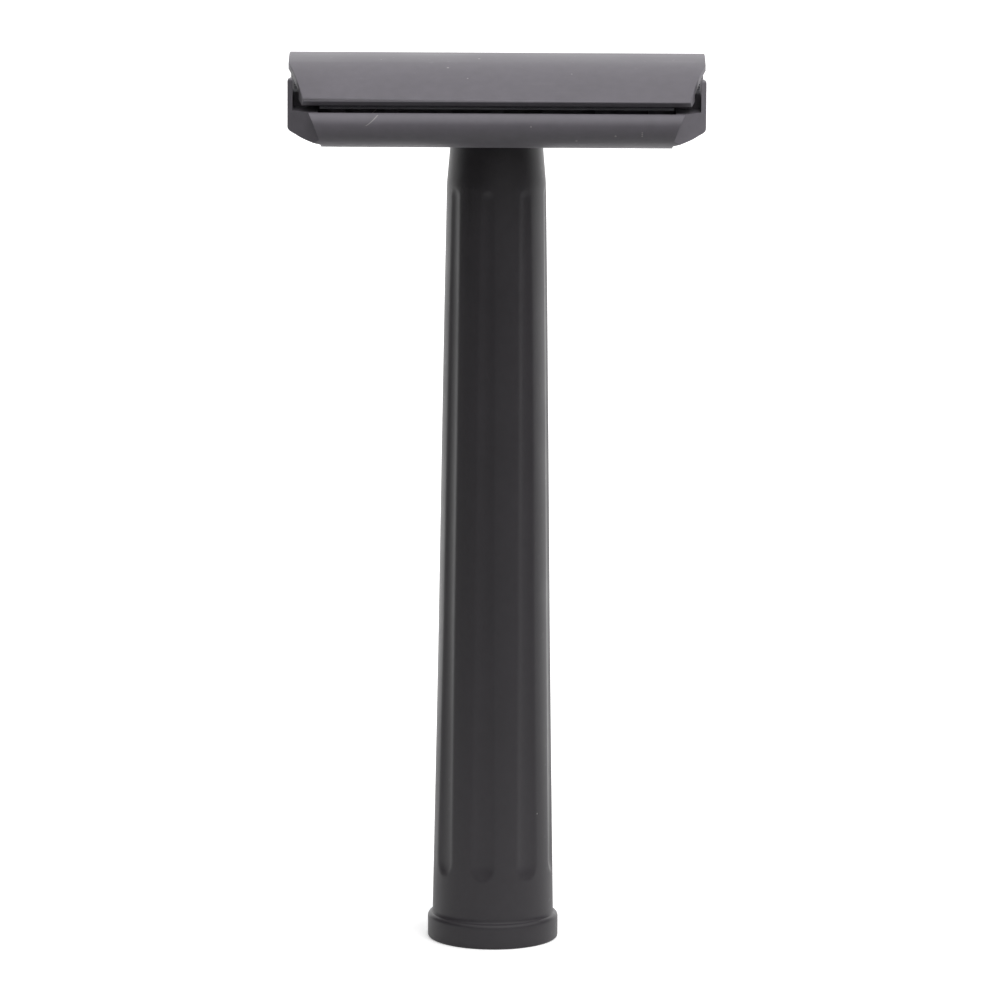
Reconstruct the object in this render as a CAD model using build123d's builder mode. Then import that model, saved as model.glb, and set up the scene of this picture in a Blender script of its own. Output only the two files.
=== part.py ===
from build123d import *
import math
import os

os.makedirs("parts", exist_ok=True)

# Double-edge safety razor, standing on its foot.
# Millimetres. Origin at the centre of the foot, +Z up the handle,
# X along the head, the two cutting edges facing -Y and +Y.

# ---------------------------------------------------------------- dimensions
# Head
head_half_length = 22.1     # cap and base plate
plate_z = 87.25             # underside of the base plate
crown_z = 96.2              # top of the cap

# Blade: the standard double-edge size, bent between the cap and the plate
blade_length = 43.0
blade_width = 22.0          # before it is bent
blade_thick = 0.10
blade_edge_length = 37.3    # length of each cutting edge
blade_tab_half = 6.3        # half width of the narrower end tabs
blade_bevel = 0.35          # width of the ground edge
blade_hole_radius = 3.0     # round the screw
blade_peg_hole_radius = 1.7
blade_slot_half_length = 17.0
blade_slot_half_width = 1.1
bend_radius = 32.0          # underside of the bent blade
bend_crown_z = 93.5         # top of the bend, underside of the blade
clamp_gap = 0.01            # between the blade and each part that clamps it

# Cap
cap_radius = 17.2           # curve across the top
cap_half_width = 10.65
cap_lip_y = 10.2            # foot of the lip, which slants in under the edge
chamfer_start_y = 4.2       # plan chamfer runs from here, at full length
cap_corner_x = 20.4         # to here, at the long edge
cap_edge_round = 0.1
cap_end_x = 20.9            # beyond this the cap is a thin overhang
cap_end_thick = 0.62
peg_radius = 1.45           # two pegs that locate the blade and the plate
peg_x = 13.5
peg_tip_z = 88.6
peg_tip_chamfer = 0.35

# Screw moulded into the cap, M5 x 0.8, right-handed
pitch = 0.8
thread_flat = 0.05          # half width of a thread's crest
flank = math.tan(math.radians(30))
screw_crest = 2.45
screw_root = 2.02
screw_tip_z = 77.6
screw_thread_z = 78.2       # centre of the first turn
screw_thread_turns = 18
screw_tip_chamfer = 0.4
flange_z = 94.1             # hexagonal flange inside the cap
flange_thick = 0.9
flange_flats = 6.6          # across the flats

# Brass nut moulded into the top of the grip
nut_radius = 3.55
nut_groove_depth = 0.25     # two grooves that hold it in the grip
nut_groove_height = 1.2
nut_groove_zs = (79.4, 83.4)
nut_bottom_z = 76.4
nut_top_z = 87.0
nut_crest = 2.14
nut_root = 2.56
nut_thread_z = 77.0         # half a pitch out of step with the screw's ridge
nut_thread_turns = 12
thread_overlap = 0.06       # how far a ridge runs into the metal behind it

# Base plate
guard_reach = 12.5          # guard bar's outermost point, from the middle
guard_top_z = 91.3
guard_top_round = 1.1       # outer top edge of the bar
under_width = 5.0           # long curve from the bar's front in under the plate
guard_bar_width = 1.35
guard_end_top_x = 19.8      # half length of the bar at its top
guard_end_mid = (19.0, 89.5)
guard_end_low_x = 18.5      # and where it runs out underneath
body_half_depth = 11.6
body_chamfer_x = 18.6       # body's corners in plan run from here, at full depth
body_end_y = 8.45           # to here, at the end walls
body_top_z = 91.2           # solid ends of the body
under_flat_x = 16.4         # underside is flat to here, then rises
under_curve = (             # in one long curve, up into the end wall
    (18.05, 87.62),
    (19.5, 88.1),
    (20.7, 88.48),
    (21.5, 88.86),
)
under_wall_z = 89.5
post_top_z = 94.5
post_start_y = 7.3          # posts stand clear of the cap's chamfers
post_round = 0.24
wall_thick = 0.54           # end walls
end_wall_drop = 0.3         # middle of the end wall, below the cap
floor_z = 90.0              # floor of the lather channels
channel_half_length = 18.9
spine_half = 5.5            # solid middle of the plate
rib_count = 7
rib_spacing = 5.6
rib_thick = 1.5
rib_reach = 7.6
slot_length = 3.0           # lather slots between the ribs
slot_width = 2.2
slot_y = 7.2
peg_hole_radius = 1.55
screw_hole_radius = 2.65
recess_radius = 4.35        # turns on the grip's boss
recess_depth = 1.15

# Grip
collar_radius = 7.03
collar_height = 2.76
collar_round = 0.4          # top edge
foot_round = 0.28           # bottom edge
grip_profile = (            # (z, radius) from the collar to the neck
    (2.76, 6.52),
    (17.1, 6.28),
    (34.8, 5.99),
    (52.3, 5.76),
    (69.6, 5.51),
    (82.4, 5.29),
)
neck_top_z = 87.22
neck_top_radius = 4.88
boss_radius = 4.30
boss_height = 1.1
boss_chamfer = 0.2
core_radius = 3.6           # bore down the grip
plug_top_z = 8.8
plug_chamfer = 0.4
rod_radius = 3.55
rod_top_z = 76.2
rod_chamfer = 0.3

# Flutes: a shallow groove cut by a long tapered round-ended cutter
flute_count = 8
flute_first_angle = 35.0    # degrees from +X
flute_low_z = 9.1
flute_low_radius = 4.6
flute_low_reach = 6.12      # groove floor, from the handle's axis
flute_high_z = 81.3
flute_high_radius = 2.6
flute_high_reach = 5.20
flute_edge_round = 0.9

# ------------------------------------------------------- shared constructions
bend_centre_z = bend_crown_z - bend_radius
seat_radius = bend_radius - clamp_gap                   # plate, under the blade
cap_under_radius = bend_radius + blade_thick + clamp_gap
wall_top_radius = cap_under_radius - end_wall_drop
high = 120.0                # above everything


def bend_z(radius, y):
    """Height at y of an arc concentric with the blade's bend."""
    return bend_centre_z + math.sqrt(radius**2 - y**2)


def cap_top_z(y):
    """Height at y of the cap's outer curve."""
    return crown_z - cap_radius + math.sqrt(cap_radius**2 - y**2)


def under_end_z(y):
    """Height at y of the cap's underside at its thin ends."""
    return crown_z - cap_radius + math.sqrt((cap_radius - cap_end_thick) ** 2 - y**2)


# ----------------------------------------------------------------------- cap
with BuildPart() as cap:
    with BuildSketch(Plane.YZ):
        with BuildLine():
            ThreePointArc(
                (-cap_half_width, cap_top_z(cap_half_width)),
                (0, crown_z),
                (cap_half_width, cap_top_z(cap_half_width)),
            )
            Line(
                (cap_half_width, cap_top_z(cap_half_width)),
                (cap_half_width, bend_z(cap_under_radius, cap_half_width)),
            )
            ThreePointArc(
                (cap_half_width, bend_z(cap_under_radius, cap_half_width)),
                (0, bend_z(cap_under_radius, 0)),
                (-cap_half_width, bend_z(cap_under_radius, cap_half_width)),
            )
            Line(
                (-cap_half_width, bend_z(cap_under_radius, cap_half_width)),
                (-cap_half_width, cap_top_z(cap_half_width)),
            )
        make_face()
    extrude(amount=head_half_length, both=True)
    # plan outline: a rectangle with long chamfers at the corners
    with BuildSketch(Plane.XY.offset(plate_z)):
        with BuildLine():
            Polyline(
                (head_half_length, chamfer_start_y),
                (cap_corner_x, cap_half_width),
                (-cap_corner_x, cap_half_width),
                (-head_half_length, chamfer_start_y),
                (-head_half_length, -chamfer_start_y),
                (-cap_corner_x, -cap_half_width),
                (cap_corner_x, -cap_half_width),
                (head_half_length, -chamfer_start_y),
                close=True,
            )
        make_face()
    extrude(amount=crown_z, mode=Mode.INTERSECT)
    cap_crown_face = cap.faces().sort_by(Axis.Z)[-1]
    fillet(cap_crown_face.edges(), radius=cap_edge_round)
    # undercut along both long edges, so the lip slants in to the blade
    lip_top_z = cap_top_z(cap_half_width) - cap_edge_round
    with BuildSketch(Plane.YZ):
        with BuildLine():
            Polyline(
                (cap_half_width, lip_top_z),
                (cap_lip_y, bend_z(cap_under_radius, cap_lip_y)),
                (cap_lip_y, plate_z),
                (cap_half_width + 1, plate_z),
                (cap_half_width + 1, lip_top_z),
                close=True,
            )
        make_face()
        mirror(about=Plane.YZ)
    extrude(amount=head_half_length, both=True, mode=Mode.SUBTRACT)
    # thinned under both ends, where it overhangs the blade
    for side in (1, -1):
        with BuildSketch(Plane.YZ.offset(side * cap_end_x)):
            with BuildLine():
                ThreePointArc(
                    (-cap_half_width, under_end_z(cap_half_width)),
                    (0, under_end_z(0)),
                    (cap_half_width, under_end_z(cap_half_width)),
                )
                Polyline(
                    (cap_half_width, under_end_z(cap_half_width)),
                    (cap_half_width, plate_z),
                    (-cap_half_width, plate_z),
                    (-cap_half_width, under_end_z(cap_half_width)),
                )
            make_face()
        extrude(amount=side * head_half_length, mode=Mode.SUBTRACT)
    # pegs
    with BuildSketch(Plane.XY.offset(peg_tip_z)):
        with Locations((peg_x, 0), (-peg_x, 0)):
            Circle(peg_radius)
    extrude(until=Until.NEXT)
    peg_tips = cap.faces().filter_by(Axis.Z).group_by(Axis.Z)[0]
    chamfer(peg_tips.edges(), length=peg_tip_chamfer)
    # seat of the screw's shank and flange
    with BuildSketch(Plane.XY.offset(bend_crown_z - 1)):
        Circle(screw_crest)
    extrude(amount=flange_z - bend_crown_z + 1, mode=Mode.SUBTRACT)
    with BuildSketch(Plane.XY.offset(flange_z)):
        RegularPolygon(flange_flats / 2, 6, major_radius=False)
    extrude(amount=flange_thick, mode=Mode.SUBTRACT)

cap.part.label = "cap"
export_step(cap.part, "parts/cap.step")

# ------------------------------------------------------------- threaded stud
screw_ridge_root = screw_root - thread_overlap
screw_ridge_half = thread_flat + (screw_crest - screw_ridge_root) * flank

with BuildPart() as screw_ridge:
    with BuildLine() as screw_path:
        Helix(
            pitch=pitch,
            height=pitch * screw_thread_turns,
            radius=screw_root,
            center=(0, 0, screw_thread_z),
        )
    screw_plane = Plane(
        origin=screw_path.line @ 0, x_dir=(1, 0, 0), z_dir=screw_path.line % 0
    )
    with BuildSketch(screw_plane):
        with BuildLine():
            Polyline(
                (screw_ridge_root - screw_root, -screw_ridge_half),
                (screw_crest - screw_root, -thread_flat),
                (screw_crest - screw_root, thread_flat),
                (screw_ridge_root - screw_root, screw_ridge_half),
                close=True,
            )
        make_face()
    sweep(is_frenet=True)

with BuildPart() as threaded_stud:
    with BuildSketch(Plane.XY.offset(screw_tip_z)):
        Circle(screw_root)
    extrude(amount=flange_z - screw_tip_z)
    stud_tip = threaded_stud.faces().sort_by(Axis.Z)[0]
    chamfer(stud_tip.edges(), length=screw_tip_chamfer)
    add(screw_ridge.part)
    # plain shank, and the flange that the cap is moulded round
    with BuildSketch(Plane.XY.offset(bend_crown_z - 0.5)):
        Circle(screw_crest)
    extrude(amount=flange_z - bend_crown_z + 0.5)
    with BuildSketch(Plane.XY.offset(flange_z)):
        RegularPolygon(flange_flats / 2, 6, major_radius=False)
    extrude(amount=flange_thick)

threaded_stud.part.label = "threaded_stud"
export_step(threaded_stud.part, "parts/threaded_stud.step")

# --------------------------------------------------------------------- blade
blade_mid_radius = bend_radius + blade_thick / 2
blade_outer_radius = bend_radius + blade_thick
edge_angle = blade_width / 2 / blade_mid_radius
bevel_angle = (blade_width / 2 - blade_bevel) / blade_mid_radius


def bend_point(radius, angle):
    """Point of the blade's section at an angle from straight up."""
    return (radius * math.sin(angle), bend_centre_z + radius * math.cos(angle))


with BuildPart() as blade:
    with BuildSketch(Plane.YZ):
        with BuildLine():
            ThreePointArc(
                bend_point(blade_outer_radius, -bevel_angle),
                bend_point(blade_outer_radius, 0),
                bend_point(blade_outer_radius, bevel_angle),
            )
            Polyline(
                bend_point(blade_outer_radius, bevel_angle),
                bend_point(blade_mid_radius, edge_angle),
                bend_point(bend_radius, bevel_angle),
            )
            ThreePointArc(
                bend_point(bend_radius, bevel_angle),
                bend_point(bend_radius, 0),
                bend_point(bend_radius, -bevel_angle),
            )
            Polyline(
                bend_point(bend_radius, -bevel_angle),
                bend_point(blade_mid_radius, -edge_angle),
                bend_point(blade_outer_radius, -bevel_angle),
            )
        make_face()
    extrude(amount=blade_length / 2, both=True)
    # outline: full width along the edges, narrow tabs at the ends
    with BuildSketch(Plane.XY.offset(plate_z)):
        Rectangle(blade_edge_length, 2 * blade_width)
        Rectangle(blade_length, 2 * blade_tab_half)
    extrude(amount=high - plate_z, mode=Mode.INTERSECT)
    # holes for the screw and pegs, joined by the long slot
    with BuildSketch(Plane.XY.offset(plate_z)):
        SlotOverall(2 * blade_slot_half_length, 2 * blade_slot_half_width)
        Circle(blade_hole_radius)
        with Locations((peg_x, 0), (-peg_x, 0)):
            Circle(blade_peg_hole_radius)
    extrude(amount=high - plate_z, mode=Mode.SUBTRACT)

blade.part.label = "blade"
export_step(blade.part, "parts/blade.step")

# ---------------------------------------------------------------- base plate
guard_front_z = guard_top_z - guard_top_round
under_y = guard_reach - under_width
diagonal = math.sqrt(0.5)


def under_lines():
    """Underside of the plate in section, from the middle out to the front of the guard bar."""
    Line((0, plate_z), (under_y, plate_z))
    EllipticalCenterArc(
        (under_y, guard_front_z),
        under_width,
        guard_front_z - plate_z,
        start_angle=-90,
        arc_size=90,
    )


with BuildPart() as guards:
    # section of the floor and both guard bars
    with BuildSketch(Plane.YZ):
        with BuildLine():
            under_lines()
            ThreePointArc(
                (guard_reach, guard_front_z),
                (
                    guard_reach - guard_top_round * (1 - diagonal),
                    guard_front_z + guard_top_round * diagonal,
                ),
                (guard_reach - guard_top_round, guard_top_z),
            )
            Polyline(
                (guard_reach - guard_top_round, guard_top_z),
                (guard_reach - guard_bar_width, guard_top_z),
                (guard_reach - guard_bar_width, floor_z),
                (0, floor_z),
                (0, plate_z),
            )
        make_face()
        mirror(about=Plane.YZ)
    extrude(amount=guard_end_top_x, both=True)
    # front outline of the bars: their ends lean in towards the bottom
    with BuildSketch(Plane.XZ.offset(-2 * guard_reach)):
        with BuildLine():
            ThreePointArc(
                (guard_end_low_x, plate_z),
                guard_end_mid,
                (guard_end_top_x, guard_top_z),
            )
            Line((guard_end_top_x, guard_top_z), (-guard_end_top_x, guard_top_z))
            ThreePointArc(
                (-guard_end_top_x, guard_top_z),
                (-guard_end_mid[0], guard_end_mid[1]),
                (-guard_end_low_x, plate_z),
            )
            Line((-guard_end_low_x, plate_z), (guard_end_low_x, plate_z))
        make_face()
    extrude(amount=4 * guard_reach, mode=Mode.INTERSECT)

with BuildPart() as base_plate:
    # body, from its front outline
    with BuildSketch(Plane.XZ.offset(-body_half_depth)):
        with BuildLine():
            Spline(
                (under_flat_x, plate_z),
                *under_curve,
                (head_half_length, under_wall_z),
                tangents=((1, 0.1), (0, 1)),
            )
            Polyline(
                (head_half_length, under_wall_z),
                (head_half_length, body_top_z),
                (0, body_top_z),
                (0, plate_z),
                (under_flat_x, plate_z),
            )
        make_face()
        mirror(about=Plane.YZ)
    extrude(amount=2 * body_half_depth)
    # end walls, low in the middle, with a post at each corner
    for wall_x in (-head_half_length, head_half_length - wall_thick):
        with BuildSketch(Plane.YZ.offset(wall_x)):
            with BuildLine():
                ThreePointArc(
                    (-post_start_y, bend_z(wall_top_radius, post_start_y)),
                    (0, bend_z(wall_top_radius, 0)),
                    (post_start_y, bend_z(wall_top_radius, post_start_y)),
                )
                Polyline(
                    (post_start_y, bend_z(wall_top_radius, post_start_y)),
                    (post_start_y, post_top_z),
                    (body_half_depth, post_top_z),
                    (body_half_depth, under_wall_z),
                    (-body_half_depth, under_wall_z),
                    (-body_half_depth, post_top_z),
                    (-post_start_y, post_top_z),
                    (-post_start_y, bend_z(wall_top_radius, post_start_y)),
                )
            make_face()
        extrude(amount=wall_thick)
    # corners cut off in plan
    with BuildSketch(Plane.XY.offset(plate_z)):
        with BuildLine():
            Polyline(
                (head_half_length, body_end_y),
                (body_chamfer_x, body_half_depth),
                (-body_chamfer_x, body_half_depth),
                (-head_half_length, body_end_y),
                (-head_half_length, -body_end_y),
                (-body_chamfer_x, -body_half_depth),
                (body_chamfer_x, -body_half_depth),
                (head_half_length, -body_end_y),
                close=True,
            )
        make_face()
    extrude(amount=high - plate_z, mode=Mode.INTERSECT)
    post_tops = base_plate.faces().filter_by(Axis.Z).group_by(Axis.Z)[-1]
    fillet(post_tops.edges(), radius=post_round)
    # curved under the long sides, in line with the guard bars
    with BuildSketch(Plane.YZ.offset(-head_half_length)):
        with BuildLine():
            under_lines()
            Polyline(
                (guard_reach, guard_front_z),
                (guard_reach, high),
                (0, high),
                (0, plate_z),
            )
        make_face()
        mirror(about=Plane.YZ)
    extrude(amount=2 * head_half_length, mode=Mode.INTERSECT)
    # lather channels
    with BuildSketch(Plane.XY.offset(floor_z)):
        Rectangle(2 * channel_half_length, 3 * body_half_depth)
    extrude(amount=high - floor_z, mode=Mode.SUBTRACT)
    add(guards.part)
    # spine under the middle of the blade
    with BuildSketch(Plane.YZ):
        with BuildLine():
            ThreePointArc(
                (-spine_half, bend_z(seat_radius, spine_half)),
                (0, bend_z(seat_radius, 0)),
                (spine_half, bend_z(seat_radius, spine_half)),
            )
            Polyline(
                (spine_half, bend_z(seat_radius, spine_half)),
                (spine_half, plate_z + 2),
                (-spine_half, plate_z + 2),
                (-spine_half, bend_z(seat_radius, spine_half)),
            )
        make_face()
    extrude(amount=head_half_length - wall_thick, both=True)
    # ribs that carry the blade near its edges
    for index in range(rib_count):
        rib_x = (index - (rib_count - 1) / 2) * rib_spacing
        with BuildSketch(Plane.YZ.offset(rib_x - rib_thick / 2)):
            with BuildLine():
                ThreePointArc(
                    (-rib_reach, bend_z(seat_radius, rib_reach)),
                    (0, bend_z(seat_radius, 0)),
                    (rib_reach, bend_z(seat_radius, rib_reach)),
                )
                Polyline(
                    (rib_reach, bend_z(seat_radius, rib_reach)),
                    (rib_reach, plate_z + 2),
                    (-rib_reach, plate_z + 2),
                    (-rib_reach, bend_z(seat_radius, rib_reach)),
                )
            make_face()
        extrude(amount=rib_thick)
    # lather slots through the floor, between the ribs
    with BuildSketch(Plane.XY.offset(plate_z)):
        with GridLocations(rib_spacing, 2 * slot_y, rib_count - 1, 2):
            SlotOverall(slot_length, slot_width)
    extrude(amount=floor_z - plate_z, mode=Mode.SUBTRACT)
    # holes for the pegs and the screw, and the recess for the grip's boss
    with BuildSketch(Plane.XY.offset(plate_z)):
        Circle(screw_hole_radius)
        with Locations((peg_x, 0), (-peg_x, 0)):
            Circle(peg_hole_radius)
    extrude(amount=high - plate_z, mode=Mode.SUBTRACT)
    with BuildSketch(Plane.XY.offset(plate_z)):
        Circle(recess_radius)
    extrude(amount=recess_depth, mode=Mode.SUBTRACT)

base_plate.part.label = "base_plate"
export_step(base_plate.part, "parts/base_plate.step")

# ------------------------------------------------------------ threaded insert
nut_ridge_root = nut_root + thread_overlap
nut_ridge_half = thread_flat + (nut_ridge_root - nut_crest) * flank
nut_floor = nut_radius - nut_groove_depth
nut_low, nut_high = nut_groove_zs

with BuildPart() as nut_blank:
    with BuildSketch(Plane.XZ):
        with BuildLine():
            Polyline(
                (0, nut_bottom_z),
                (nut_radius, nut_bottom_z),
                (nut_radius, nut_low),
                (nut_floor, nut_low),
                (nut_floor, nut_low + nut_groove_height),
                (nut_radius, nut_low + nut_groove_height),
                (nut_radius, nut_high),
                (nut_floor, nut_high),
                (nut_floor, nut_high + nut_groove_height),
                (nut_radius, nut_high + nut_groove_height),
                (nut_radius, nut_top_z),
                (0, nut_top_z),
                close=True,
            )
        make_face()
    revolve(axis=Axis.Z)

with BuildPart() as nut_ridge:
    with BuildLine() as nut_path:
        Helix(
            pitch=pitch,
            height=pitch * nut_thread_turns,
            radius=nut_root,
            center=(0, 0, nut_thread_z),
        )
    nut_plane = Plane(
        origin=nut_path.line @ 0, x_dir=(1, 0, 0), z_dir=nut_path.line % 0
    )
    with BuildSketch(nut_plane):
        with BuildLine():
            Polyline(
                (nut_ridge_root - nut_root, -nut_ridge_half),
                (nut_crest - nut_root, -thread_flat),
                (nut_crest - nut_root, thread_flat),
                (nut_ridge_root - nut_root, nut_ridge_half),
                close=True,
            )
        make_face()
    sweep(is_frenet=True)

with BuildPart() as threaded_insert:
    add(nut_blank.part)
    with BuildSketch(Plane.XY.offset(nut_bottom_z)):
        Circle(nut_root)
    extrude(amount=nut_top_z - nut_bottom_z, mode=Mode.SUBTRACT)
    add(nut_ridge.part)

threaded_insert.part.label = "threaded_insert"
export_step(threaded_insert.part, "parts/threaded_insert.step")

# -------------------------------------------------------------- handle shell
flute_low_axis = flute_low_reach + flute_low_radius
flute_high_axis = flute_high_reach + flute_high_radius
flute_run = math.hypot(flute_high_z - flute_low_z, flute_high_axis - flute_low_axis)
flute_taper = (flute_low_radius - flute_high_radius) / flute_run
flute_taper_cos = math.sqrt(1 - flute_taper**2)
# the cutter's own frame: its length along local y, its radius along local x
flute_plane = Plane(
    origin=(flute_low_axis, 0, flute_low_z),
    x_dir=(flute_high_z - flute_low_z, 0, flute_low_axis - flute_high_axis),
    z_dir=(0, -1, 0),
)

with BuildPart() as flute_cutter:
    with BuildSketch(flute_plane):
        with BuildLine():
            ThreePointArc(
                (0, -flute_low_radius),
                (flute_low_radius * diagonal, -flute_low_radius * diagonal),
                (flute_low_radius * flute_taper_cos, flute_low_radius * flute_taper),
            )
            Line(
                (flute_low_radius * flute_taper_cos, flute_low_radius * flute_taper),
                (
                    flute_high_radius * flute_taper_cos,
                    flute_run + flute_high_radius * flute_taper,
                ),
            )
            ThreePointArc(
                (
                    flute_high_radius * flute_taper_cos,
                    flute_run + flute_high_radius * flute_taper,
                ),
                (
                    flute_high_radius * diagonal,
                    flute_run + flute_high_radius * diagonal,
                ),
                (0, flute_run + flute_high_radius),
            )
            Line((0, flute_run + flute_high_radius), (0, -flute_low_radius))
        make_face()
    revolve(axis=Axis(flute_plane.origin, flute_plane.y_dir))

# the grip's section stands midway between two flutes, clear of both
section_angle = math.radians(flute_first_angle + 180 / flute_count)
section_plane = Plane(
    origin=(0, 0, 0),
    x_dir=(math.cos(section_angle), math.sin(section_angle), 0),
    z_dir=(math.sin(section_angle), -math.cos(section_angle), 0),
)

with BuildPart() as handle_shell:
    with BuildSketch(section_plane):
        with BuildLine():
            Spline(*[(radius, z) for z, radius in grip_profile])
            Polyline(
                (grip_profile[-1][1], grip_profile[-1][0]),
                (neck_top_radius, neck_top_z),
                (boss_radius, neck_top_z),
                (boss_radius, neck_top_z + boss_height - boss_chamfer),
                (boss_radius - boss_chamfer, neck_top_z + boss_height),
                (0, neck_top_z + boss_height),
                (0, collar_height),
                (grip_profile[0][1], collar_height),
            )
        make_face()
    revolve(axis=Axis.Z)
    with PolarLocations(0, flute_count, start_angle=flute_first_angle):
        add(flute_cutter.part, mode=Mode.SUBTRACT)
    flute_edges = handle_shell.edges().filter_by(
        lambda edge: edge.geom_type == GeomType.BSPLINE
        and edge.bounding_box().min.Z > collar_height + 1
        and edge.bounding_box().max.Z < grip_profile[-1][0] + 0.5
    )
    fillet(flute_edges, radius=flute_edge_round)
    # bore, then the nut's seat, then the way in for the screw
    with BuildSketch(Plane.XY.offset(collar_height)):
        Circle(core_radius)
    extrude(amount=nut_bottom_z - collar_height, mode=Mode.SUBTRACT)
    add(nut_blank.part, mode=Mode.SUBTRACT)
    with BuildSketch(Plane.XY.offset(nut_top_z - 1)):
        Circle(screw_hole_radius)
    extrude(amount=high - nut_top_z, mode=Mode.SUBTRACT)

handle_shell.part.label = "handle_shell"
export_step(handle_shell.part, "parts/handle_shell.step")

# ------------------------------------------------------------ balance weight
with BuildPart() as balance_weight:
    with BuildSketch(Plane.XY.offset(plug_top_z)):
        Circle(rod_radius)
    extrude(amount=rod_top_z - plug_top_z)
    rod_ends = balance_weight.faces().filter_by(Axis.Z)
    chamfer(rod_ends.edges(), length=rod_chamfer)

balance_weight.part.label = "balance_weight"
export_step(balance_weight.part, "parts/balance_weight.step")

# --------------------------------------------------------------- foot collar
with BuildPart() as foot_collar:
    with BuildSketch(Plane.XY):
        Circle(collar_radius)
    extrude(amount=collar_height)
    collar_edges = foot_collar.edges().filter_by(GeomType.CIRCLE).sort_by(Axis.Z)
    fillet(collar_edges[0], radius=foot_round)
    top_edge = foot_collar.edges().filter_by(GeomType.CIRCLE).sort_by(Axis.Z)[-1]
    fillet(top_edge, radius=collar_round)
    # plug that closes the bore
    with BuildSketch(Plane.XY.offset(collar_height)):
        Circle(core_radius)
    extrude(amount=plug_top_z - collar_height)
    plug_top = foot_collar.faces().sort_by(Axis.Z)[-1]
    chamfer(plug_top.edges(), length=plug_chamfer)

foot_collar.part.label = "foot_collar"
export_step(foot_collar.part, "parts/foot_collar.step")
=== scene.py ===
import math
import bmesh
import bpy
import numpy as np
from mathutils import Matrix, Vector


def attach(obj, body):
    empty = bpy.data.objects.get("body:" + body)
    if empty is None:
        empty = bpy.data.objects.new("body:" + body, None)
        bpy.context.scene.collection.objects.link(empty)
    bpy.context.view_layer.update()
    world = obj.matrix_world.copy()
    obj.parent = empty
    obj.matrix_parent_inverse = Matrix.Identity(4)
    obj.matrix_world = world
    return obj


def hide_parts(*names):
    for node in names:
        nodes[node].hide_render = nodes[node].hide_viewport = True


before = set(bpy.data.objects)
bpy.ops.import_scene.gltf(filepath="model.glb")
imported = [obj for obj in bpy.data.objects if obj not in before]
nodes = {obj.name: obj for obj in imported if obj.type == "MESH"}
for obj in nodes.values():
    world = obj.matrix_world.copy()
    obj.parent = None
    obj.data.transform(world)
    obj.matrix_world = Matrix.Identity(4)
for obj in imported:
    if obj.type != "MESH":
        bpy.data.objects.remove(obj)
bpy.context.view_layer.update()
scene = bpy.context.scene
MM = 0.001

# Camera, in metres and degrees
CAMERA_PLACE = (0.00055, -0.8922, 0.2109)
CAMERA_DOWN = 10.35
CAMERA_ROLL = 0.3
CAMERA_LENS = 304.0
CAMERA_SENSOR = 36.0

# Light and floor
AIM = (0, 0, 0.06)              # the lamps point here, in metres
FRONT_POWER = 6.0
RIGHT_POWER = 1.1
FRONT_GLOW = 1.2                # the room's brightness overhead and in front
WALL_GLOW = 1.6                 # and of the wall behind
ROOM_GLOW = 0.05                # and everywhere else
FAR_WAY = (0.05, 0.998, 0.0)    # away from the camera, along the floor
FAR_GLOW = 0.5
FLOOR_HALF = 6.0                # metres
FLOOR_NEAR = 0.09
FLOOR_SEEN = 0.35               # its glow to the camera
FOOT_CONTACT = 6.7              # radius of the foot's flat face, in millimetres


def cap_speck(x, y, size):
    """A speck on the cap's outer curve."""
    return (x, y, CAP_CENTRE_Z + math.sqrt(CAP_RADIUS**2 - y**2), size)


def guard_speck(x, z, size):
    """A speck on the long curve under the front guard bar."""
    low = (GUARD_CENTRE_Z - z) / GUARD_DROP
    return (x, -(GUARD_CENTRE_Y + GUARD_WIDTH * math.sqrt(1 - low**2)), z, size)


# Millimetres: the curves that dust has settled on, and the dust
CAP_CENTRE_Z, CAP_RADIUS = 79.0, 17.2
GUARD_CENTRE_Z, GUARD_DROP = 90.2, 2.95
GUARD_CENTRE_Y, GUARD_WIDTH = 7.5, 5.0
SPECKS = [
    cap_speck(-5.2, -5.26, 0.16),
    cap_speck(-1.9, -2.6, 0.17),
    cap_speck(-3.1, -7.4, 0.11),
    cap_speck(-12.3, -3.0, 0.1),
    cap_speck(7.9, -6.5, 0.09),
    guard_speck(8.4, 88.5, 0.15),
    guard_speck(12.5, 89.1, 0.14),
    guard_speck(3.6, 90.1, 0.11),
    guard_speck(15.3, 89.1, 0.11),
    guard_speck(15.3, 89.3, 0.11),
    guard_speck(15.3, 89.5, 0.09),
]
FIBRE = (-13.8, 90.1, 1.3, 1.1)     # x and z of its low end, then its run and rise
FIBRE_BEND = 0.8
FIBRE_HALF = 0.045


# ------------------------------------------------------------------ materials
def new_material(name):
    """A new material, whose tree holds only an output and a Principled shader."""
    material = bpy.data.materials.new(name)
    material.use_nodes = True
    tree = material.node_tree
    tree.nodes.clear()
    output = tree.nodes.new("ShaderNodeOutputMaterial")
    shader = tree.nodes.new("ShaderNodeBsdfPrincipled")
    tree.links.new(shader.outputs[0], output.inputs[0])
    return material, tree, shader


def add_node(tree, kind, inputs=None, **settings):
    """A node with these settings, and inputs that are either values or other nodes' outputs."""
    node = tree.nodes.new(kind)
    for key, value in settings.items():
        setattr(node, key, value)
    for key, value in (inputs or {}).items():
        socket = node.inputs[key]
        if isinstance(value, bpy.types.NodeSocket):
            tree.links.new(value, socket)
        else:
            socket.default_value = value
    return node


def ramp(tree, factor, stops):
    """Tones that follow a factor, from stops of (position, colour)."""
    node = tree.nodes.new("ShaderNodeValToRGB")
    tree.links.new(factor, node.inputs[0])
    elements = node.color_ramp.elements
    while len(elements) < len(stops):
        elements.new(0.5)
    for element, (position, colour) in zip(elements, stops):
        element.position = position
        element.color = (*colour, 1.0)
    return node.outputs[0]


def grey(value):
    return (value, value, value)


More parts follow.
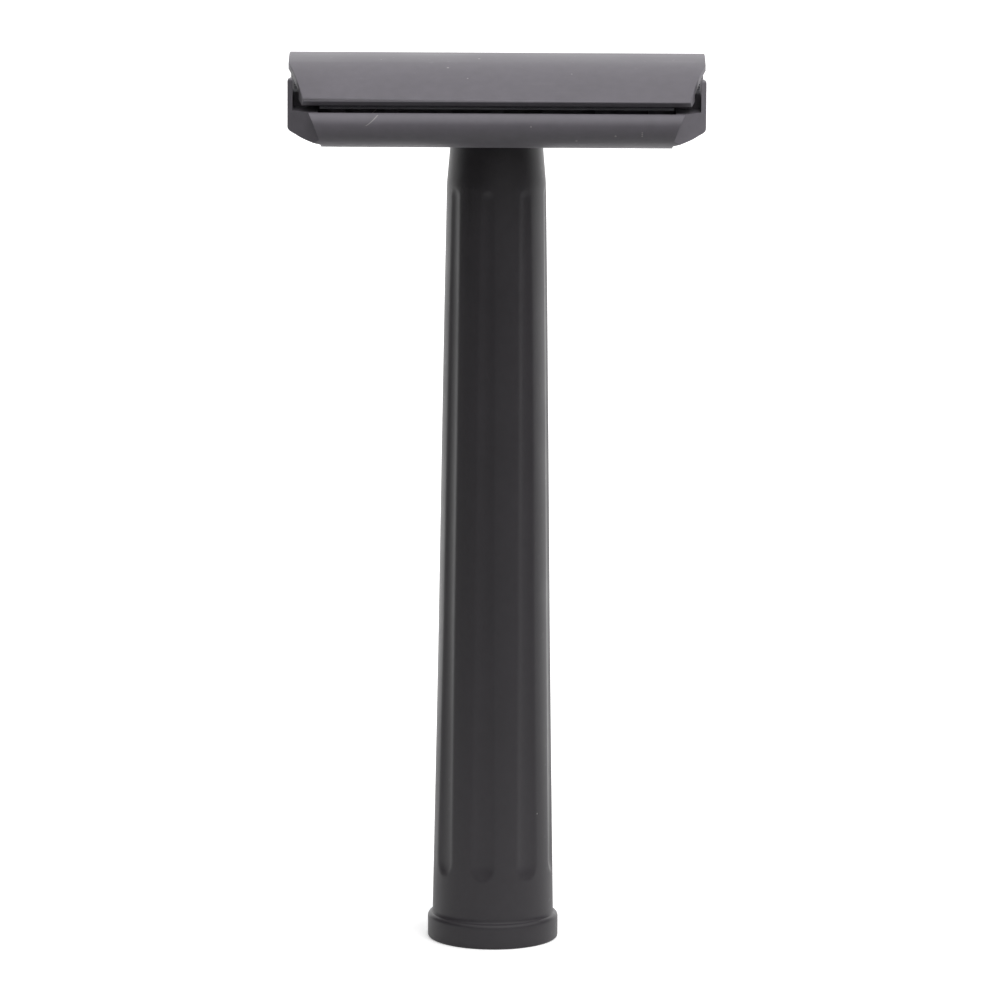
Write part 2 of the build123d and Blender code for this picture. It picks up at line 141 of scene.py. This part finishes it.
def mix_colour(tree, factor, a, b, blend="MIX"):
    """Colour a to colour b by a factor, or a blended with b; each may be another node's output."""
    node = tree.nodes.new("ShaderNodeMix")
    node.data_type = "RGBA"
    node.blend_type = blend
    for index, value in ((0, factor), (6, a), (7, b)):
        socket = node.inputs[index]
        if isinstance(value, bpy.types.NodeSocket):
            tree.links.new(value, socket)
        elif index == 0:
            socket.default_value = value
        else:
            socket.default_value = (*value, 1.0)
    return node.outputs[2]


def math_node(tree, operation, a, b=0.0, clamp=False):
    node = tree.nodes.new("ShaderNodeMath")
    node.operation = operation
    node.use_clamp = clamp
    for index, value in ((0, a), (1, b)):
        if isinstance(value, bpy.types.NodeSocket):
            tree.links.new(value, node.inputs[index])
        else:
            node.inputs[index].default_value = value
    return node.outputs[0]


def specks_at(tree, where, points):
    """Small soft dots round points of the piece, each given as (x, y, z, size) in millimetres."""
    total = 0.0
    for x, y, z, size in points:
        away = add_node(
            tree,
            "ShaderNodeVectorMath",
            {0: where, 1: (x * MM, y * MM, z * MM)},
            operation="DISTANCE",
        ).outputs["Value"]
        dot = add_node(
            tree,
            "ShaderNodeMapRange",
            {0: away, 1: size * MM * 0.5, 2: size * MM, 3: 1.0, 4: 0.0},
        ).outputs[0]
        total = math_node(tree, "MAXIMUM", total, dot)
    return total


def fibre_at(tree, where, x, z, run, rise):
    """A thin slanting fibre on the front, from (x, z), running and rising by millimetres."""
    axes = add_node(tree, "ShaderNodeSeparateXYZ", {"Vector": where}).outputs
    climb = add_node(
        tree, "ShaderNodeMapRange", {0: axes[2], 1: z * MM, 2: (z + rise) * MM}
    ).outputs[0]
    curve = math_node(tree, "POWER", climb, FIBRE_BEND)
    line = add_node(
        tree, "ShaderNodeMapRange", {0: curve, 3: x * MM, 4: (x + run) * MM}
    ).outputs[0]
    away = math_node(tree, "ABSOLUTE", math_node(tree, "SUBTRACT", axes[0], line))
    thin = add_node(
        tree,
        "ShaderNodeMapRange",
        {0: away, 1: FIBRE_HALF * MM, 2: 2 * FIBRE_HALF * MM, 3: 1.0, 4: 0.0},
    ).outputs[0]
    shown = math_node(
        tree,
        "MULTIPLY",
        math_node(tree, "GREATER_THAN", climb, 0.01),
        math_node(tree, "LESS_THAN", climb, 0.99),
    )
    in_front = math_node(tree, "LESS_THAN", axes[1], 0.0)
    return math_node(tree, "MULTIPLY", math_node(tree, "MULTIPLY", thin, shown), in_front)


def plastic(name, base, rough, seed, dust=1.0, settled=None):
    """Satin moulded plastic: a fine grain, faint rubbing, and a few specks of dust."""
    material, tree, shader = new_material(name)
    where = add_node(tree, "ShaderNodeTexCoord").outputs["Object"]
    place = add_node(
        tree, "ShaderNodeMapping", {"Vector": where, "Location": (seed, seed * 0.7, 0.3)}
    ).outputs[0]
    cloud = add_node(
        tree, "ShaderNodeTexNoise", {"Vector": place, "Scale": 90.0, "Detail": 5.0}
    ).outputs[0]
    grain = add_node(
        tree, "ShaderNodeTexNoise", {"Vector": place, "Scale": 5200.0, "Detail": 3.0}
    ).outputs[0]
    mottle = add_node(
        tree, "ShaderNodeTexNoise", {"Vector": place, "Scale": 900.0, "Detail": 4.0}
    ).outputs[0]
    # colour: slow clouds and a fine mottle over the base
    tone = ramp(tree, cloud, [(0.3, grey(0.93)), (0.7, grey(1.06))])
    fine = ramp(tree, mottle, [(0.3, grey(0.955)), (0.7, grey(1.045))])
    colour = mix_colour(tree, 1.0, base, tone, "MULTIPLY")
    colour = mix_colour(tree, 1.0, colour, fine, "MULTIPLY")
    # scratches: thin stretched noise, in two directions
    scratch_total = None
    for turn, stretch in ((0.35, (1400.0, 1400.0, 60.0)), (1.25, (70.0, 1500.0, 1500.0))):
        turned = add_node(
            tree,
            "ShaderNodeMapping",
            {"Vector": place, "Rotation": (turn, 0.4, turn), "Scale": stretch},
        ).outputs[0]
        line = add_node(
            tree, "ShaderNodeTexNoise", {"Vector": turned, "Scale": 1.0, "Detail": 1.0}
        ).outputs[0]
        line = ramp(tree, line, [(0.70, grey(0.0)), (0.76, grey(1.0))])
        if scratch_total is None:
            scratch_total = line
        else:
            scratch_total = math_node(tree, "MAXIMUM", scratch_total, line)
    # dust: tiny pale dots, in a few cells out of a hundred
    cells = add_node(
        tree, "ShaderNodeTexVoronoi", {"Vector": place, "Scale": 420.0, "Randomness": 1.0}
    )
    dots = ramp(tree, cells.outputs["Distance"], [(0.028, grey(1.0)), (0.05, grey(0.0))])
    keep = add_node(
        tree, "ShaderNodeSeparateColor", {"Color": cells.outputs["Color"]}
    ).outputs[0]
    keep = ramp(tree, keep, [(0.955, grey(0.0)), (0.96, grey(1.0))])
    specks = math_node(tree, "MULTIPLY", dots, keep)
    specks = math_node(tree, "MULTIPLY", specks, 0.55 * dust)
    if settled:
        specks = math_node(tree, "MAXIMUM", specks, settled(tree, where))
    colour = mix_colour(tree, specks, colour, (0.42, 0.41, 0.4))
    tree.links.new(colour, shader.inputs["Base Color"])
    # roughness: slow changes and a fine mottle, smoother along the scratches
    rubbed = ramp(tree, cloud, [(0.35, grey(rough - 0.035)), (0.65, grey(rough + 0.035))])
    roughness = math_node(
        tree, "ADD", rubbed, math_node(tree, "MULTIPLY", mottle, 0.05)
    )
    roughness = math_node(
        tree, "SUBTRACT", roughness, math_node(tree, "MULTIPLY", scratch_total, 0.08), True
    )
    tree.links.new(roughness, shader.inputs["Roughness"])
    # bump: moulded grain plus the scratches
    height = math_node(
        tree, "SUBTRACT", grain, math_node(tree, "MULTIPLY", scratch_total, 0.35)
    )
    bump = add_node(
        tree,
        "ShaderNodeBump",
        {"Height": height, "Strength": 0.16, "Distance": 0.03 * MM},
    )
    tree.links.new(bump.outputs[0], shader.inputs["Normal"])
    shader.inputs["IOR"].default_value = 1.49
    return material


def metal(name, base, rough, seed, grain_scale, tint=0.08, grain_depth=0.02):
    """Machined metal: brushed in one direction, with small changes of tone."""
    material, tree, shader = new_material(name)
    where = add_node(tree, "ShaderNodeTexCoord").outputs["Object"]
    brushed = add_node(
        tree,
        "ShaderNodeMapping",
        {"Vector": where, "Location": (seed, 0.2, seed * 0.3), "Scale": grain_scale},
    ).outputs[0]
    lines = add_node(
        tree, "ShaderNodeTexNoise", {"Vector": brushed, "Scale": 1.0, "Detail": 6.0}
    ).outputs[0]
    cloud = add_node(
        tree, "ShaderNodeTexNoise", {"Vector": where, "Scale": 260.0, "Detail": 4.0}
    ).outputs[0]
    tone = ramp(tree, cloud, [(0.3, grey(1.0 - tint)), (0.7, grey(1.0 + tint))])
    streak = ramp(tree, lines, [(0.3, grey(0.9)), (0.7, grey(1.05))])
    colour = mix_colour(tree, 1.0, base, tone, "MULTIPLY")
    colour = mix_colour(tree, 1.0, colour, streak, "MULTIPLY")
    tree.links.new(colour, shader.inputs["Base Color"])
    shader.inputs["Metallic"].default_value = 1.0
    roughness = ramp(tree, lines, [(0.3, grey(rough - 0.06)), (0.7, grey(rough + 0.08))])
    tree.links.new(roughness, shader.inputs["Roughness"])
    bump = add_node(
        tree,
        "ShaderNodeBump",
        {"Height": lines, "Strength": 0.12, "Distance": grain_depth * MM},
    )
    tree.links.new(bump.outputs[0], shader.inputs["Normal"])
    return material


def settled_on_head(tree, where):
    """Lint and a fibre that have settled on the front of the head."""
    dots = specks_at(tree, where, SPECKS)
    fibre = fibre_at(tree, where, *FIBRE)
    return math_node(tree, "MULTIPLY", math_node(tree, "MAXIMUM", dots, fibre), 0.7)


head_plastic = plastic("head_plastic", (0.16, 0.15, 0.17), 0.5, 1.3, settled=settled_on_head)
grip_plastic = plastic("grip_plastic", (0.0285, 0.0255, 0.0298), 0.36, 4.1, 0.6)
blade_steel = metal(
    "blade_steel", (0.36, 0.365, 0.38), 0.28, 2.0, (60.0, 5200.0, 5200.0), grain_depth=0.002
)
screw_steel = metal("screw_steel", (0.55, 0.56, 0.58), 0.3, 3.0, (900.0, 900.0, 4200.0))
brass = metal("brass", (0.72, 0.5, 0.22), 0.28, 5.0, (900.0, 900.0, 4200.0))
rod_steel = metal("rod_steel", (0.34, 0.34, 0.35), 0.45, 6.0, (3000.0, 3000.0, 120.0), 0.14)


# ------------------------------------------------------------------- meshes
MOULDED_CRISP = 28      # degrees: edges sharper than this stay crisp
TURNED_CRISP = 34
WELD = 2e-6             # metres: vertices closer than this are one
FLAT_WITHIN = 0.6       # degrees: faces this close to level with each other are one
PLATE_EDGE = 0.12       # millimetres: width of the softened edges
CAP_EDGE = 0.08
GRIP_STEPS = 288        # sides of the turned pieces
COLLAR_STEPS = 192


def new_object(name, mesh, body, material, stands_for):
    """A visible piece that rides on a CAD body and stands for one of its nodes."""
    piece = bpy.data.objects.new(name, mesh)
    scene.collection.objects.link(piece)
    mesh.materials.clear()
    mesh.materials.append(material)
    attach(piece, body)
    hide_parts(stands_for)
    return piece


def smooth_by_angle(mesh, degrees):
    """Smooth shading, with edges sharper than this many degrees left crisp."""
    work = bmesh.new()
    work.from_mesh(mesh)
    for face in work.faces:
        face.smooth = True
    limit = math.radians(degrees)
    for edge in work.edges:
        edge.smooth = len(edge.link_faces) == 2 and edge.calc_face_angle(0.0) < limit
    work.to_mesh(mesh)
    work.free()


def turned_mesh(name, steps, profile_at):
    """A closed ring about the Z axis, from profile_at(angle), its (radius, z) points in millimetres."""
    verts, faces = [], []
    for step in range(steps):
        turn = 2 * math.pi * step / steps
        profile = profile_at(turn)
        for radius, z in profile:
            verts.append((radius * math.cos(turn) * MM, radius * math.sin(turn) * MM, z * MM))
    count = len(profile)
    for step in range(steps):
        here, there = step * count, (step + 1) % steps * count
        for index in range(count):
            after = (index + 1) % count
            faces.append((here + index, there + index, there + after, here + after))
    mesh = bpy.data.meshes.new(name)
    mesh.from_pydata(verts, [], faces)
    smooth_by_angle(mesh, TURNED_CRISP)
    return mesh


def cleaned_copy(node):
    """A CAD node's shape with its flat faces whole again."""
    mesh = nodes[node].data.copy()
    work = bmesh.new()
    work.from_mesh(mesh)
    bmesh.ops.remove_doubles(work, verts=work.verts, dist=WELD)
    bmesh.ops.dissolve_limit(
        work,
        angle_limit=math.radians(FLAT_WITHIN),
        verts=work.verts,
        edges=work.edges,
        delimit={"NORMAL"},
    )
    work.to_mesh(mesh)
    work.free()
    smooth_by_angle(mesh, MOULDED_CRISP)
    return mesh


def soften(piece, width):
    """Rounds a piece's crisp edges, as a mould leaves them."""
    bevel = piece.modifiers.new("soft_edges", "BEVEL")
    bevel.width = width
    bevel.segments = 3
    bevel.limit_method = "ANGLE"
    bevel.angle_limit = math.radians(MOULDED_CRISP)
    bevel.harden_normals = True
    bevel.miter_outer = "MITER_ARC"


plate = new_object(
    "guard_plate", cleaned_copy("base_plate"), "plate", head_plastic, "base_plate"
)
soften(plate, PLATE_EDGE * MM)
cap = new_object("curved_cap", cleaned_copy("cap"), "cap", head_plastic, "cap")
soften(cap, CAP_EDGE * MM)

for node, material in (
    ("blade", blade_steel),
    ("threaded_stud", screw_steel),
    ("threaded_insert", brass),
    ("balance_weight", rod_steel),
):
    mesh = nodes[node].data
    mesh.materials.clear()
    mesh.materials.append(material)

# ---------------------------------------------------------------------- grip
# Millimetres. The outside tapers from the collar to the neck: (height, radius).
GRIP = (
    (2.76, 6.52), (17.1, 6.28), (34.8, 5.99), (52.3, 5.76), (69.6, 5.51), (82.4, 5.29), (87.22, 4.88),
)
FLARE_LOW, FLARE_TOP, FLARE = 2.62, 3.2, 0.34    # the small curve from the grip out to the collar
NECK_TOP = GRIP[-1][0]
CORE = 3.6                                # bore down the grip
NUT_RADIUS, NUT_LOW, NUT_HIGH = 3.55, 76.4, 87.0
COLLAR_RADIUS, COLLAR_TOP, COLLAR_ROUND = 7.03, 2.76, 0.5
FOOT_ROUND = 0.28
PLUG_TOP, PLUG_CHAMFER = 8.8, 0.4         # part of the collar, up inside the grip
AXIS_GAP = 0.02                           # pinhole left on the axis of a turned piece
FLUTES = 8
FLUTE_FIRST = math.radians(35.0)
FLUTE_LOW = (9.1, 4.6, 6.12 + 4.6)        # height, cutter radius, distance of its axis
FLUTE_HIGH = (81.3, 2.6, 5.20 + 2.6)
FLUTE_SOFT = 0.11                         # how far the flutes' edges blend into the grip


def grip_radius(z):
    """The grip's outside without its flutes."""
    heights = [point[0] for point in GRIP]
    radii = [point[1] for point in GRIP]
    flare = min(max((FLARE_TOP - z) / (FLARE_TOP - FLARE_LOW), 0.0), 1.0)
    flare = FLARE * (1 - math.sqrt(1 - flare * flare))
    return float(np.interp(z, heights, radii)) + flare


def flute_radius(z, turn):
    """Distance from the axis to the nearest flute's surface, or far outside where there is none."""
    share = min(max((z - FLUTE_LOW[0]) / (FLUTE_HIGH[0] - FLUTE_LOW[0]), 0.0), 1.0)
    cutter = FLUTE_LOW[1] + share * (FLUTE_HIGH[1] - FLUTE_LOW[1])
    reach = FLUTE_LOW[2] + share * (FLUTE_HIGH[2] - FLUTE_LOW[2])
    beyond = max(FLUTE_LOW[0] - z, z - FLUTE_HIGH[0], 0.0)
    if beyond >= cutter:
        return 99.0
    cutter = math.sqrt(cutter**2 - beyond**2)
    spacing = 2 * math.pi / FLUTES
    away = (turn - FLUTE_FIRST + spacing / 2) % spacing - spacing / 2
    inside = cutter**2 - (reach * math.sin(away)) ** 2
    # past the cutter's side, carry its surface on steeply outwards so the blend stays smooth
    if inside <= 0:
        return reach * math.cos(away) + 4.0 * math.sqrt(-inside)
    return reach * math.cos(away) - math.sqrt(inside)


def soft_min(a, b, width):
    """The smaller of two, blended where they are within this width of each other."""
    share = max(width - abs(a - b), 0.0) / width
    return min(a, b) - share * share * width / 4


def spread(low, high, count):
    """Evenly spaced values from low up to, but not including, high."""
    return [low + (high - low) * index / count for index in range(count)]


GRIP_HEIGHTS = (
    spread(FLARE_LOW, FLARE_TOP, 10)
    + spread(FLARE_TOP, 5.4, 6)
    + spread(5.4, 9.0, 26)
    + spread(9.0, 79.5, 84)
    + spread(79.5, 82.4, 22)
    + spread(82.4, NECK_TOP, 8)
    + [NECK_TOP]
)
# after the outside: the boss, the screw's way in, the nut's seat and the bore
GRIP_INSIDE = [
    (4.30, 87.24), (4.30, 88.12), (4.24, 88.24), (4.10, 88.32), (2.75, 88.32), (2.65, 88.22),
    (2.65, NUT_HIGH), (NUT_RADIUS, NUT_HIGH), (NUT_RADIUS, NUT_LOW), (CORE, NUT_LOW),
    (CORE, FLARE_LOW),
]


def grip_profile(turn):
    outside = [
        (soft_min(grip_radius(z), flute_radius(z, turn), FLUTE_SOFT), z) for z in GRIP_HEIGHTS
    ]
    return outside + GRIP_INSIDE


new_object(
    "fluted_grip",
    turned_mesh("fluted_grip", GRIP_STEPS, grip_profile),
    "handle",
    grip_plastic,
    "handle_shell",
)


def corner(radius_at, z_at, size, start, steps=6):
    """Points round a corner of this size, centred at radius_at, z_at, over a quarter turn."""
    points = []
    for step in range(steps + 1):
        angle = start + step / steps * math.pi / 2
        points.append((radius_at + size * math.cos(angle), z_at + size * math.sin(angle)))
    return points


collar_profile = (
    [(AXIS_GAP, 0.0)]
    + corner(COLLAR_RADIUS - FOOT_ROUND, FOOT_ROUND, FOOT_ROUND, -math.pi / 2)
    + corner(COLLAR_RADIUS - COLLAR_ROUND, COLLAR_TOP - COLLAR_ROUND, COLLAR_ROUND, 0.0)
    + [(CORE, COLLAR_TOP), (CORE, PLUG_TOP - PLUG_CHAMFER)]
    + [(CORE - PLUG_CHAMFER, PLUG_TOP), (AXIS_GAP, PLUG_TOP)]
)
new_object(
    "foot_ring",
    turned_mesh("foot_ring", COLLAR_STEPS, lambda turn: collar_profile),
    "handle",
    grip_plastic,
    "foot_collar",
)

# -------------------------------------------------------------------- camera
cam_data = bpy.data.cameras.new("camera")
cam_data.sensor_width = CAMERA_SENSOR
cam_data.lens = CAMERA_LENS
cam_data.clip_end = 20.0
camera = bpy.data.objects.new("camera", cam_data)
scene.collection.objects.link(camera)
camera.matrix_world = (
    Matrix.Translation(CAMERA_PLACE)
    @ Matrix.Rotation(math.radians(90.0 - CAMERA_DOWN), 4, "X")
    @ Matrix.Rotation(math.radians(CAMERA_ROLL), 4, "Z")
)
scene.camera = camera

# -------------------------------------------------------------------- lights
world = bpy.data.worlds.new("world")
scene.world = world
world.use_nodes = True
world_tree = world.node_tree
backdrop = world_tree.nodes["Background"]
# A white room: a large soft light above and in front, a brighter wall behind, little from below.
room = world_tree.nodes.new("ShaderNodeTexCoord").outputs["Generated"]


def facing(direction, low, high):
    """0 to 1 as a direction in the room turns towards the given one."""
    dot = add_node(
        world_tree, "ShaderNodeVectorMath", {0: room, 1: direction}, operation="DOT_PRODUCT"
    ).outputs["Value"]
    turned = {0: dot, 1: low, 2: high}
    return add_node(
        world_tree, "ShaderNodeMapRange", turned, interpolation_type="SMOOTHSTEP"
    ).outputs[0]


front_light = facing((0.2, -0.34, 0.92), 0.3, 0.95)
wall_light = facing(FAR_WAY, 0.55, 0.85)
under_light = facing((0.0, 0.0, -1.0), 0.05, 0.3)     # reaches only the foot's flat face
glow = math_node(
    world_tree,
    "MAXIMUM",
    math_node(world_tree, "MULTIPLY", front_light, FRONT_GLOW),
    math_node(world_tree, "MULTIPLY", wall_light, WALL_GLOW),
)
glow = math_node(world_tree, "MAXIMUM", glow, under_light)
glow = math_node(world_tree, "ADD", glow, ROOM_GLOW)
seen_directly = world_tree.nodes.new("ShaderNodeLightPath").outputs["Is Camera Ray"]
glow = mix_colour(world_tree, seen_directly, glow, grey(1.0))
world_tree.links.new(glow, backdrop.inputs[0])
backdrop.inputs[1].default_value = 1.0
scene.view_settings.view_transform = "Standard"


def softbox(name, place, width, height, power):
    """A rectangular soft lamp that lights the object but isn't mirrored in it."""
    data = bpy.data.lights.new(name, "AREA")
    data.shape = "RECTANGLE"
    data.size = width
    data.size_y = height
    data.energy = power
    lamp = bpy.data.objects.new(name, data)
    scene.collection.objects.link(lamp)
    lamp.location = place
    lamp.rotation_euler = (Vector(AIM) - Vector(place)).to_track_quat("-Z", "Y").to_euler()
    lamp.visible_glossy = False


softbox("front_softbox", (0.4, -0.75, 1.3), 0.7, 0.6, FRONT_POWER)
softbox("right_softbox", (0.6, 0.1, 0.25), 0.3, 0.6, RIGHT_POWER)

# --------------------------------------------------------------------- floor
PALE = grey(0.93)
floor_mesh = bpy.data.meshes.new("floor")
floor_mesh.from_pydata(
    [(x * FLOOR_HALF, y * FLOOR_HALF, 0) for x, y in ((-1, -1), (1, -1), (1, 1), (-1, 1))],
    [],
    [(0, 1, 2, 3)],
)
floor = bpy.data.objects.new("floor", floor_mesh)
scene.collection.objects.link(floor)
floor_material, floor_tree, floor_shader = new_material("floor")
geometry = floor_tree.nodes.new("ShaderNodeNewGeometry").outputs
ray = floor_tree.nodes.new("ShaderNodeLightPath").outputs


def floor_fade(value, low, high, at_low, at_high, **settings):
    """Runs from one value to another as a distance on the floor goes from low to high, in metres."""
    inputs = {0: value, 1: low, 2: high, 3: at_low, 4: at_high}
    return add_node(floor_tree, "ShaderNodeMapRange", inputs, **settings).outputs[0]


along = add_node(
    floor_tree, "ShaderNodeVectorMath", {0: geometry["Position"], 1: FAR_WAY}, operation="DOT_PRODUCT"
).outputs["Value"]
reach = add_node(
    floor_tree, "ShaderNodeVectorMath", {0: geometry["Position"]}, operation="LENGTH"
).outputs["Value"]
# pale to the camera; what it bounces back is dim in front, but for a patch round the foot
far_side = floor_fade(along, 0.02, 0.10, 0.0, 1.0, interpolation_type="SMOOTHSTEP")
near_foot = floor_fade(reach, 0.02, 0.06, 0.8, 0.0, interpolation_type="SMOOTHSTEP")
mirrored = floor_fade(reach, 0.05, 0.5, 0.9, 0.0)
in_front = mix_colour(floor_tree, ray["Is Glossy Ray"], near_foot, mirrored)
pale = math_node(floor_tree, "MAXIMUM", far_side, in_front)
bounced = mix_colour(floor_tree, pale, grey(FLOOR_NEAR), PALE)
floor_colour = mix_colour(floor_tree, ray["Is Camera Ray"], bounced, PALE)
floor_tree.links.new(floor_colour, floor_shader.inputs["Base Color"])
floor_shader.inputs["Emission Color"].default_value = (1, 1, 1, 1)
floor_glow = math_node(
    floor_tree,
    "MAXIMUM",
    math_node(floor_tree, "MULTIPLY", ray["Is Camera Ray"], FLOOR_SEEN),
    math_node(floor_tree, "MULTIPLY", far_side, FAR_GLOW),
)
floor_tree.links.new(floor_glow, floor_shader.inputs["Emission Strength"])
floor_shader.inputs["Roughness"].default_value = 0.9
# clear from below and right under the foot, so that the underside can be seen
clear = math_node(
    floor_tree,
    "MAXIMUM",
    geometry["Backfacing"],
    math_node(floor_tree, "LESS_THAN", reach, FOOT_CONTACT * MM),
)
nothing = floor_tree.nodes.new("ShaderNodeBsdfTransparent").outputs[0]
one_sided = add_node(
    floor_tree, "ShaderNodeMixShader", {0: clear, 1: floor_shader.outputs[0], 2: nothing}
).outputs[0]
floor_output = next(node for node in floor_tree.nodes if node.type == "OUTPUT_MATERIAL")
floor_tree.links.new(one_sided, floor_output.inputs[0])
floor_mesh.materials.append(floor_material)
